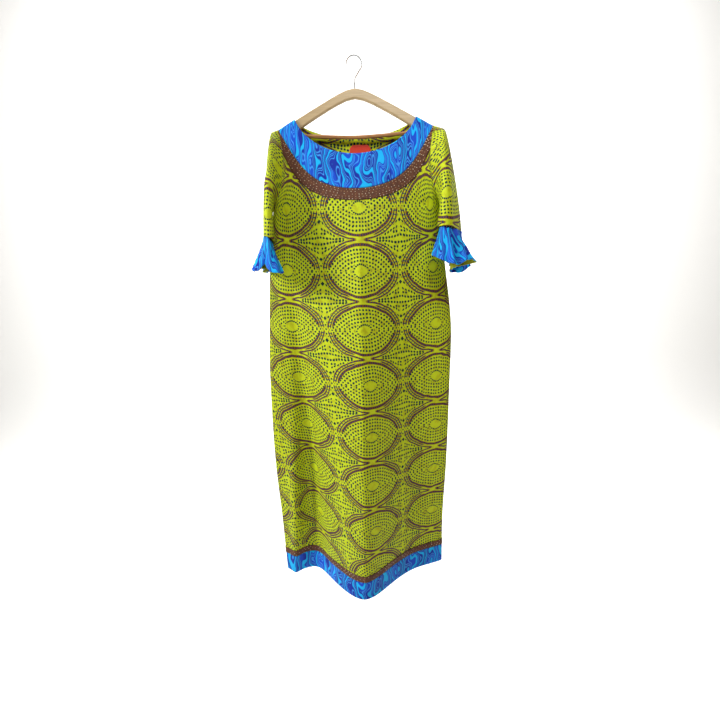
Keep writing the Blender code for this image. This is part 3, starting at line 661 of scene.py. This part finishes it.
# Marbled cotton: plain-weave cotton with a printed marbling that flows down the cloth. The eye sees broad
# cyan tongues and loops on royal blue, each followed by fine pale lines, matte with hardly any sheen.
def makeBlueMarbled():
    look = {  # sizes in metres: one stream's width, and how far and how wide it swings
        "royal": "#0a46c6", "navy": "#05289a", "cyan": "#06aeee", "pale": "#3593e6",
        "stream": 0.025, "swing": 0.60, "swirl": (0.027, 0.062), "drift": 0.003,
        # each line's middle, half width and softness as shares of a stream, and its ink
        "lines": ((0.56, 0.030, 0.022, "pale"), (0.68, 0.024, 0.020, "pale"), (0.86, 0.030, 0.022, "pale"),
                  (0.27, 0.135, 0.030, "cyan")),
    }
    material, shader, add = startMaterial("marbled blue cotton")
    cloth = add("UVMap", uv_map="cloth")
    drift = add("TexNoise", cloth, 45.0, 0.0, noise_dimensions="2D")
    drift = add("VectorMath SUBTRACT", drift.outputs["Color"], (0.5, 0.5, 0.5))
    drifted = add("VectorMath MULTIPLY_ADD", drift, (look["drift"] * 2, look["drift"] * 2, 0.0), cloth)
    swirls = add("VectorMath MULTIPLY", drifted, (1 / look["swirl"][0], 1 / look["swirl"][1], 1.0))
    loops = add("TexNoise", swirls, 1.0, 0.0, noise_dimensions="2D")
    swing = add("Math SUBTRACT", loops.outputs["Fac"], 0.5)
    swing = add("Math MULTIPLY", swing, look["swing"] * 4)
    across = add("SeparateXYZ", drifted).outputs[0]
    level = add("Math MULTIPLY_ADD", across, 1 / look["stream"], swing)
    level = add("Math FRACT", level)
    deep = add("TexNoise", swirls, 0.7, 0.0, noise_dimensions="2D")
    deep = add("MapRange", deep.outputs["Fac"], 0.42, 0.60, 0.0, 1.0, interpolation_type="SMOOTHSTEP")
    colour = add("Mix", deep, linear(look["royal"]), linear(look["navy"]), data_type="RGBA")
    for middle, half, soft, ink in look["lines"]:
        away = add("Math ABSOLUTE", add("Math SUBTRACT", level, middle))
        cover = add("MapRange", away, half - soft, half + soft, 1.0, 0.0, interpolation_type="SMOOTHSTEP")
        colour = add("Mix", cover, colour, linear(look[ink]), data_type="RGBA")
    wire(colour, shader, "Base Color")
    addWeave(add, shader, cloth)
    shader.inputs["Roughness"].default_value = 0.68
    shader.inputs["Specular IOR Level"].default_value = 0.22
    return material


# The plainer finishes: one dictionary of what is different, made the same way, from a base colour and a
# second colour that the surface drifts to, with the grain or thread that the real one has.
finishes = {
    # Brown cotton tape under the stones: matte, a little blotched where the glue has darkened it.
    "brownTrim": {"name": "brown cotton tape", "colour": "#5e3215", "second": "#421f0a",
                  "scale": 90.0, "detail": 3.0, "bump": (700.0, 0.25, 0.0003),
                  "roughness": 0.75, "sheen": 0.05},
    # Dyed plain lining cotton: thin, matt, slightly uneven in colour.
    "greenLining": {"name": "dyed green lining cotton", "colour": "#a3ab1e", "second": "#8c9316",
                    "scale": 40.0, "detail": 2.0, "bump": (1100.0, 0.15, 0.0002),
                    "roughness": 0.8, "sheen": 0.05},
    # Woven satin label ribbon: fine ribs across, a soft shine.
    "redLabel": {"name": "woven red satin ribbon", "colour": "#d83618", "second": "#c22b10",
                 "stretch": (1.0, 14.0, 1.0), "scale": 120.0, "detail": 2.0, "bump": (1400.0, 0.2, 0.0002),
                 "roughness": 0.42, "sheen": 0.1},
    # Clear-lacquered pale wood, sanded: long fine grain along the arm, darker pores.
    "paleWood": {"name": "lacquered pale beech", "colour": "#b39d76", "second": "#a48e66", "solid": True,
                 "stretch": (0.06, 1.0, 1.0), "scale": 260.0, "detail": 5.0, "bump": (420.0, 0.10, 0.0003),
                 "roughness": 0.38, "sheen": 0.0},
    # Stained turned dowel under lacquer: darker brown, its fine grain along the bar, a soft shine.
    "brownWood": {"name": "lacquered brown dowel", "colour": "#b5834f", "second": "#8a5a30", "solid": True,
                  "stretch": (0.05, 1.0, 1.0), "scale": 300.0, "detail": 5.0, "bump": (420.0, 0.10, 0.0003),
                  "roughness": 0.36, "sheen": 0.0},
}


def makeFinish(look):
    material, shader, add = startMaterial(look["name"])
    place = add("TexCoord").outputs["Object"] if look.get("solid") else add("UVMap", uv_map="cloth")
    stretched = add("VectorMath MULTIPLY", place, look.get("stretch", (1.0, 1.0, 1.0)))
    drift = add("TexNoise", stretched, look["scale"], look["detail"])
    share = add("MapRange", drift.outputs["Fac"], 0.35, 0.70, 0.0, 1.0)
    colour = add("Mix", share, linear(look["colour"]), linear(look["second"]), data_type="RGBA")
    wire(colour, shader, "Base Color")
    scale, strength, deep = look["bump"]
    grain = add("TexNoise", stretched, scale, 2.0)
    bump = add("Bump", sockets={"Strength": strength, "Distance": deep, "Height": grain.outputs["Fac"]})
    wire(bump, shader, "Normal")
    shader.inputs["Roughness"].default_value = look["roughness"]
    shader.inputs["Sheen Weight"].default_value = look["sheen"]
    return material


# Plated steel wire: a smooth bright metal, faintly streaked along its length from drawing.
def makeSteelWire():
    material, shader, add = startMaterial("plated steel wire")
    shader.inputs["Base Color"].default_value = linear("#c6c8cc")
    shader.inputs["Metallic"].default_value = 1.0
    streak = add("TexNoise", add("TexCoord").outputs["Object"], 400.0, 3.0)
    rough = add("MapRange", streak.outputs["Fac"], 0.3, 0.7, 0.16, 0.30)
    wire(rough, shader, "Roughness")
    return material


# Cut glass stones on the tapes, pale gold and clear, with flat facets. Their colour drifts at random from pale
# gold
# to bronze: partly the stones' own tint, partly painted glint, the palest standing in for stones that sparkle.
def makeStone():
    material, shader, add = startMaterial("pale cut glass stones")
    # painted glint mixed with real tint: the pale base colour stands in for stones that catch the light
    paintedGlint = add("TexNoise", add("TexCoord").outputs["Object"], 150.0, 0.0)
    share = add("MapRange", paintedGlint.outputs["Fac"], 0.40, 0.62, 0.0, 1.0)
    colour = add("Mix", share, linear("#f2e2c4"), linear("#b98c58"), data_type="RGBA")
    wire(colour, shader, "Base Color")
    shader.inputs["Metallic"].default_value = 0.1
    shader.inputs["Roughness"].default_value = 0.15
    return material


# Spun polyester sewing thread: fine, slightly shiny, in the colour of the cloth it sews.
def makeThread(name, colour):
    material, shader, add = startMaterial(name)
    twist = add("TexNoise", add("TexCoord").outputs["Object"], 2500.0, 1.0)
    shade = add("MapRange", twist.outputs["Fac"], 0.3, 0.7, 0.75, 1.1)
    dyed = add("VectorMath SCALE", linear(colour)[:3], shade)
    wire(dyed, shader, "Base Color")
    shader.inputs["Roughness"].default_value = 0.55
    shader.inputs["Sheen Weight"].default_value = 0.2
    return material


blueMarbled = makeBlueMarbled()
brownTrim, greenLining, redLabel, paleWood, brownWood = (makeFinish(look) for look in finishes.values())
steelWire = makeSteelWire()
stoneGlass = makeStone()
print("finishes mixed")


# Where the print falls on each piece, as repeats across and down. The folds take the front's cloth up unevenly,
# so its numbers, apart from the bulge, are a least-squares fit made by a separate script to the middles of
# ovals read off the photograph. Each row goes with the powers of the height over the middle, in metres.
printRepeat = {"wide": 0.238, "high": 0.157}
frontLay = {
    "middle": -0.9, "start": (-0.05269, 0.14567, -0.11385), "across": (4.19679, -0.2265, 1.01428),
    "rows": (3.08071, -6.40238, 0.58256), "slant": (-0.11357, 0.32518), "bow": 1.0507,
    "bulge": 0.054, "bulgeAt": -0.03, "bulgeHigh": 0.15, "bulgeWide": 0.12,
}


def frontPrint(across, down, place):
    z = place.z - frontLay["middle"]
    start, scale, rows, slant = (sum(term * z ** power for power, term in enumerate(frontLay[name]))
                                 for name in ("start", "across", "rows", "slant"))
    near = ((z - frontLay["bulgeAt"]) / frontLay["bulgeHigh"]) ** 2 + (across / frontLay["bulgeWide"]) ** 2
    wide = start + scale * across - frontLay["bulge"] * math.exp(-near)
    return wide, -(rows + slant * across + frontLay["bow"] * across ** 2)


def backPrint(across, down, place):
    return across / printRepeat["wide"] + 0.5, -down / printRepeat["high"] - 0.35


# On the sleeves: how far the nearest oval's middle lies from the front and its height, and how far the cloth
# is taken up across, at the shoulder and from the armpit down
sleeveOval = {
    "Left": (0.0, -0.412), "Right": (0.016, -0.3685),
    "shoulder": 1.35, "arm": 0.58, "armpit": -0.34, "rise": 0.16,
}


panelLook = {"material": waxPrint, "thickness": 0.0009}
blueLook = {"material": blueMarbled, "thickness": 0.0009}
trimLook = {"material": brownTrim, "thickness": 0.0008, "lift": 0.0011}
liningLook = {"material": greenLining, "thickness": 0.0006, "lift": -0.0014}
labelLook = {"material": redLabel, "thickness": 0.0006, "lift": -0.0019}


def addPiece(name, nodes, slot, held, place, columns, rows, look, **more):
    piece, flat, area = makeCloth(name, place, columns, rows, look, **more)
    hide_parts(*nodes)
    {"flat": flat, "area": min(area, flat[0] * flat[1]), "held": held}


addPiece("frontPanel", ["front_panel"], "wax_print_cotton", "hung", frontPoint, 180, 260, panelLook,
         creases=bodyCreases(-1), printAt=frontPrint)
addPiece("backPanel", ["back_panel"], "wax_print_cotton", "hung", backPoint, 160, 240, panelLook,
         creases=bodyCreases(1), printAt=backPrint)
addPiece("neckYoke", ["neck_yoke"], "blue_marbled_cotton", "hung", yokePoint, 160, 22, blueLook,
         creases=bodyCreases(-1))
addPiece("neckTrim", ["neck_trim"], "brown_studded_trim", "hung", neckTrimPoint, 160, 8, trimLook,
         creases=bodyCreases(-1))
for sideName, side in (("Front", -1), ("Back", 1)):
    addPiece("hemTrim" + sideName, ["hem_trim_" + sideName.lower()], "brown_studded_trim", "hung",
             hemTrimPoint(side), 180, 6, trimLook, creases=bodyCreases(side))
    addPiece("hemBand" + sideName, ["hem_band_" + sideName.lower()], "blue_marbled_cotton", "hung",
             hemBandPoint(side), 180, 16, blueLook, creases=bodyCreases(side))
print("body made")


# A flounce is gathered into its seam: uneven ripples that grow towards the hem
gathering = {"seam": 0.0008, "hem": 0.0030, "uneven": 1.2, "ripples": 17, "drift": 5}


def gathers(side, place):
    top, hem = (sum((place(k / 24, v) for k in range(24)), Vector()) / 24 for v in (0, 1))

    def height(spot):
        low = min(max((top.z - spot.z) / (top.z - hem.z), 0.0), 1.0)
        out = spot - top.lerp(hem, low)
        turn = math.atan2(out.x, out.y)
        drift = noise.noise(Vector((math.cos(turn) * 1.7, math.sin(turn) * 1.7, side)))
        deep = noise.noise(Vector((math.sin(turn) * 2.5, math.cos(turn) * 2.5, side + 7)))
        ripple = math.sin(gathering["ripples"] * turn + gathering["drift"] * drift)
        return (gathering["seam"] + gathering["hem"] * low) * (1 + gathering["uneven"] * deep) * ripple
    return height


def sleeveCloth(sideName, side, seam):  # the sleeve and its flounce, each from how far round it the seam is
    sleeve, flounce = sleeveForm[sideName.lower()], flounceForm[sideName.lower()]

    def tubePlace(u, v):
        return sleevePoint(side, sleeve, -2 * math.pi * (u + seam) * side, sleeve["ring"][-1] * v)

    def flouncePlace(u, v):
        return flouncePoint(side, sleeve, flounce, -2 * math.pi * (u + seam) * side, v)
    return tubePlace, flouncePlace


sleeveSwell = {"most": 0.005, "inside": 0.26, "wide": 0.02, "below": -0.29, "high": 0.05}  # towards the body
for sideName, side in (("Left", -1), ("Right", 1)):
    tubePlace, flouncePlace = sleeveCloth(sideName, side, 0.5)  # seamed under the arm

    def sleevePrint(across, down, place, name=sideName):
        start, height = sleeveOval[name]
        upper = smoothStep((place.z - sleeveOval["armpit"]) / sleeveOval["rise"])
        taken = between(sleeveOval["arm"], sleeveOval["shoulder"], upper)
        return (across - start) * taken / printRepeat["wide"], -(down + height) / printRepeat["high"]

    def sleeveEase(place, side=side):
        inner = smoothStep((sleeveSwell["inside"] - place.x * side) / sleeveSwell["wide"])
        lower = smoothStep((sleeveSwell["below"] - place.z) / sleeveSwell["high"])
        return sleeveSwell["most"] * inner * lower

    front = 0.5 - 0.25 * side  # how far round the tube its front lies
    low = sideName.lower()
    addPiece("sleeve" + sideName, ["sleeve_" + low], "wax_print_cotton", "hung", tubePlace, 96, 80, panelLook,
             creases=sleeveEase, printAt=sleevePrint, tube=front)
    addPiece("flounce" + sideName, ["flounce_" + low], "blue_marbled_cotton", "gathered",
             flouncePlace, 216, 28, blueLook, creases=gathers(side, flouncePlace), tube=front)
    addPiece("flounceLining" + sideName, ["flounce_lining_" + low], "plain_green_lining", "gathered",
             flouncePlace, 216, 28, liningLook, creases=gathers(side, flouncePlace), tube=front)
print("sleeves made")


label = {"left": 0.041, "right": -0.019, "top": -0.214, "low": -0.246, "corner": 0.009}


def labelPoint(u, v):
    x = between(label["left"], label["right"], u)
    near = min(x - label["right"], label["left"] - x)
    top = label["top"] - max(label["corner"] - near, 0.0)
    z = between(top, label["low"], v)
    return Vector((x, surfaceY(1, x, z), z))


addPiece("neckLabel", ["neck_label"], "red_woven_label", "stretched", labelPoint, 30, 16, labelLook)

for node, material in (("hanger_arms", paleWood), ("hanger_bar", brownWood), ("hanger_hook", steelWire)):
    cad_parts[node].data.materials.clear()
    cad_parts[node].data.materials.append(material)
print("hanger finished")


def facing(place, u, v, step, drop):  # the way along a row, and the way that the cloth faces
    side = place(min(u + step, 1), v) - place(max(u - step, 0), v)
    down = place(u, min(v + drop, 1)) - place(u, max(v - drop, 0))
    return side, down.cross(side).normalized()


def creased(place, side):  # a place on the cloth with the creases that the panel has there
    height = bodyCreases(side)

    def raised(u, v):
        here = place(u, v)
        return here + facing(place, u, v, 0.004, 0.05)[1] * height(here)
    return raised


# Stones glued in rows along the brown tapes: each is a low six-sided dome with a flat top
stones = {"size": 0.00112, "height": 0.0009, "lift": 0.0012, "start": 0.012, "tapeLength": 0.6}


def addStones(name, place, rows, pitch, lost):
    mesh = bmesh.new()
    step = 0.002
    for number, row in enumerate(rows):
        u = stones["start"] + (number % 2) * 0.5 * pitch / stones["tapeLength"]  # rows half a pitch apart
        while u < 0.99:
            v = row + 0.05 * noise.noise(Vector((u * 110, row * 9, lost)))
            here = place(u, v)
            side, normal = facing(place, u, v, step, 0.05)
            wide = side.length / (min(u + step, 1) - max(u - step, 0))
            size = stones["size"] * (1.0 + 0.35 * noise.noise(Vector((u * 90, row * 7, 1.1))))
            turned = normal.to_track_quat("Z", "Y").to_matrix().to_4x4()
            spot = Matrix.Translation(here + normal * (stones["lift"] + stones["height"] * 0.4)) @ turned
            if noise.noise(Vector((u * 140, row * 11, 4.2))) > lost:  # some have dropped off
                bmesh.ops.create_cone(mesh, cap_ends=True, segments=6, radius1=size, radius2=size * 0.45,
                                      depth=stones["height"], matrix=spot)
            u += pitch / max(wide, 0.05) * (1.0 + 0.30 * noise.noise(Vector((u * 60, row * 5, 1.0))))
    piece = finishMesh(name, mesh, stoneGlass)
    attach(piece, "root")


addStones("neckStones", creased(neckTrimPoint, -1), (0.10, 0.30, 0.50, 0.70, 0.90), 0.0096, -0.36)
for sideName, side in (("Front", -1), ("Back", 1)):
    addStones("hemStones" + sideName, creased(hemTrimPoint(side), side), (0.20, 0.50, 0.80), 0.0118, -0.20)
print("stones set")


# Sewing: short stitches along an edge, each a slim rounded thread laid just over the cloth. Each thread has
# the cloth that it sews and how high it lies over that cloth's form.
stitch = {"length": 0.0026, "pitch": 0.0036, "thick": 0.00028}
sewing = {
    "blue": (makeThread("blue sewing thread", "#1c4fd0"), "blue_marbled_cotton", 0.0003),
    "brown": (makeThread("brown sewing thread", "#4a2712"), "brown_studded_trim", 0.0013),
    "lime": (makeThread("lime sewing thread", "#aeb32a"), "wax_print_cotton", 0.0003),
}


def addStitches(name, path, colour):  # path(t) gives a place and the way the cloth faces
    thread, slotName, lift = sewing[colour]
    mesh = bmesh.new()
    t = 0.004
    while t < 0.996:
        here, normal = path(t)
        ahead = path(min(t + 0.001, 1.0))[0]
        pace = (ahead - here).length / 0.001
        along = (ahead - here).normalized()
        across = normal.cross(along).normalized()
        turned = Matrix((across, normal, along)).transposed().to_4x4()
        bmesh.ops.create_cone(mesh, cap_ends=True, segments=5, radius1=stitch["thick"],
                              radius2=stitch["thick"] * 0.8, depth=stitch["length"],
                              matrix=Matrix.Translation(here + normal * lift) @ turned)
        t += stitch["pitch"] / max(pace, 0.02)
    piece = finishMesh(name, mesh, thread)
    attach(piece, "root")


def edgePath(place, v):
    def path(t):
        return place(t, v), facing(place, t, v, 0.002, 0.03)[1]
    return path


facingSeam = {"left": -0.085, "right": 0.055, "height": -0.330, "over": 0.0003}


def facingLine(t):  # a short level line where the facing behind the yoke is caught down
    x, z = between(facingSeam["left"], facingSeam["right"], t), facingSeam["height"]
    return Vector((x, surfaceY(-1, x, z) - facingSeam["over"], z)), Vector((0, -1, 0))


def backNeck(t, v):  # the back's top edge between the shoulder seams
    return creased(backPoint, 1)(0.12 + 0.76 * t, v)


addStitches("facingStitches", facingLine, "blue")
addStitches("neckEdgeStitches", edgePath(creased(yokePoint, -1), 0.05), "blue")
addStitches("neckTrimStitches", edgePath(creased(neckTrimPoint, -1), 0.97), "brown")
addStitches("yokeSeamStitches", edgePath(creased(neckTrimPoint, -1), 0.03), "brown")
for sideName, side in (("Front", -1), ("Back", 1)):
    strip = creased(hemTrimPoint(side), side)
    addStitches("hemTrimTop" + sideName, edgePath(strip, 0.05), "brown")
    addStitches("hemTrimLow" + sideName, edgePath(strip, 0.95), "brown")
    addStitches("hemStitches" + sideName, edgePath(creased(hemBandPoint(side), side), 0.82), "blue")
addStitches("backNeckStitches", edgePath(backNeck, 0.006), "lime")
for sideName, side in (("Left", -1), ("Right", 1)):
    tubePlace, flouncePlace = sleeveCloth(sideName, side, 0.0)
    addStitches("armholeStitches" + sideName, edgePath(tubePlace, 0.02), "lime")
    addStitches("cuffStitches" + sideName, edgePath(tubePlace, 0.985), "lime")
    addStitches("frillStitches" + sideName, edgePath(flouncePlace, 0.955), "blue")
print("sewing done")


# Plain pale floor that curves up behind, soft studio light and the photograph's viewpoint
studio = {
    "paint": "#f6f6f4", "glow": 0.12, "sky": "#ffeedc", "skyStrength": 0.09,
    "floorHeight": -2.3, "near": -6.0, "behind": 2.6, "bend": 0.9, "high": 7.0, "half": 7.0,
}
floorPaint, floorShader, _ = startMaterial("matt pale floor paint")
floorShader.inputs["Base Color"].default_value = linear(studio["paint"])
floorShader.inputs["Roughness"].default_value = 0.9
floorShader.inputs["Emission Color"].default_value = linear(studio["paint"])
floorShader.inputs["Emission Strength"].default_value = studio["glow"]
floorMesh = bmesh.new()
bmesh.ops.create_grid(floorMesh, x_segments=1, y_segments=40, size=1.0)
for vert in floorMesh.verts:  # flat to the foot of the curve, then a quarter round and the wall
    along = (vert.co.y + 1) / 2
    if along < 0.5:
        y, z = between(studio["near"], studio["behind"], along * 2), 0.0
    elif along < 0.8:
        angle = (along - 0.5) / 0.3 * math.pi / 2
        y, z = studio["behind"] + studio["bend"] * math.sin(angle), studio["bend"] * (1 - math.cos(angle))
    else:
        y, z = studio["behind"] + studio["bend"], between(studio["bend"], studio["high"], (along - 0.8) / 0.2)
    vert.co = Vector((vert.co.x * studio["half"], y, studio["floorHeight"] + z))
for face in floorMesh.faces:
    face.smooth = True
floor = finishMesh("studioFloor", floorMesh, floorPaint)

world = bpy.context.scene.world or bpy.data.worlds.new("studio")
bpy.context.scene.world = world
world.use_nodes = True
sky = world.node_tree.nodes["Background"]
sky.inputs["Color"].default_value = linear(studio["sky"])
sky.inputs["Strength"].default_value = studio["skyStrength"]

lamps = {  # white unless a colour is given
    "keyLeft": {"at": (-3.0, -1.35, 0.8), "aim": (0, 0, -0.65), "size": 0.8, "power": 118},
    "fillRight": {"at": (1.8, -2.8, 0.2), "aim": (0, 0, -0.75), "size": 2.0, "power": 8, "colour": "#ffb870"},
    "topFront": {"at": (0.3, -1.5, 0.9), "aim": (0.1, 0, -0.25), "size": 0.8, "power": 24},
    "wallLeft": {"at": (-1.7, 1.5, 1.5), "aim": (-2.2, 3.5, 0.5), "size": 2.4, "power": 92},
    "wallRight": {"at": (1.7, 1.5, 1.5), "aim": (2.2, 3.5, 0.5), "size": 2.4, "power": 92},
    "floorLamp": {"at": (0.0, 1.4, 0.9), "aim": (0, 2.0, -2.3), "size": 2.4, "power": 90},
}
for name, lamp in lamps.items():
    light = bpy.data.lights.new(name, "AREA")
    light.size = lamp["size"]
    light.energy = lamp["power"]
    light.color = linear(lamp.get("colour", "#ffffff"))[:3]
    holder = bpy.data.objects.new(name, light)
    holder.location = lamp["at"]
    holder.rotation_euler = (Vector(lamp["aim"]) - Vector(lamp["at"])).to_track_quat("-Z", "Y").to_euler()
    bpy.context.collection.objects.link(holder)

view = {"at": (-0.007, -1.18, -0.60), "down": 11.0, "roll": 1.7, "lens": 19.5}
cameraData = bpy.data.cameras.new("camera")
cameraData.lens = view["lens"]
cameraData.sensor_width = 36.0
camera = bpy.data.objects.new("camera", cameraData)
tilt, roll = math.radians(view["down"]), math.radians(view["roll"])
right = Vector((math.cos(roll), -math.sin(roll) * math.sin(tilt), -math.sin(roll) * math.cos(tilt)))
up = Vector((math.sin(roll), math.cos(roll) * math.sin(tilt), math.cos(roll) * math.cos(tilt)))
turned = Matrix((right, up, right.cross(up))).transposed().to_4x4()
camera.matrix_world = Matrix.Translation(view["at"]) @ turned
bpy.context.collection.objects.link(camera)
bpy.context.scene.camera = camera
bpy.context.scene.view_settings.view_transform = "Standard"
print("stage made")
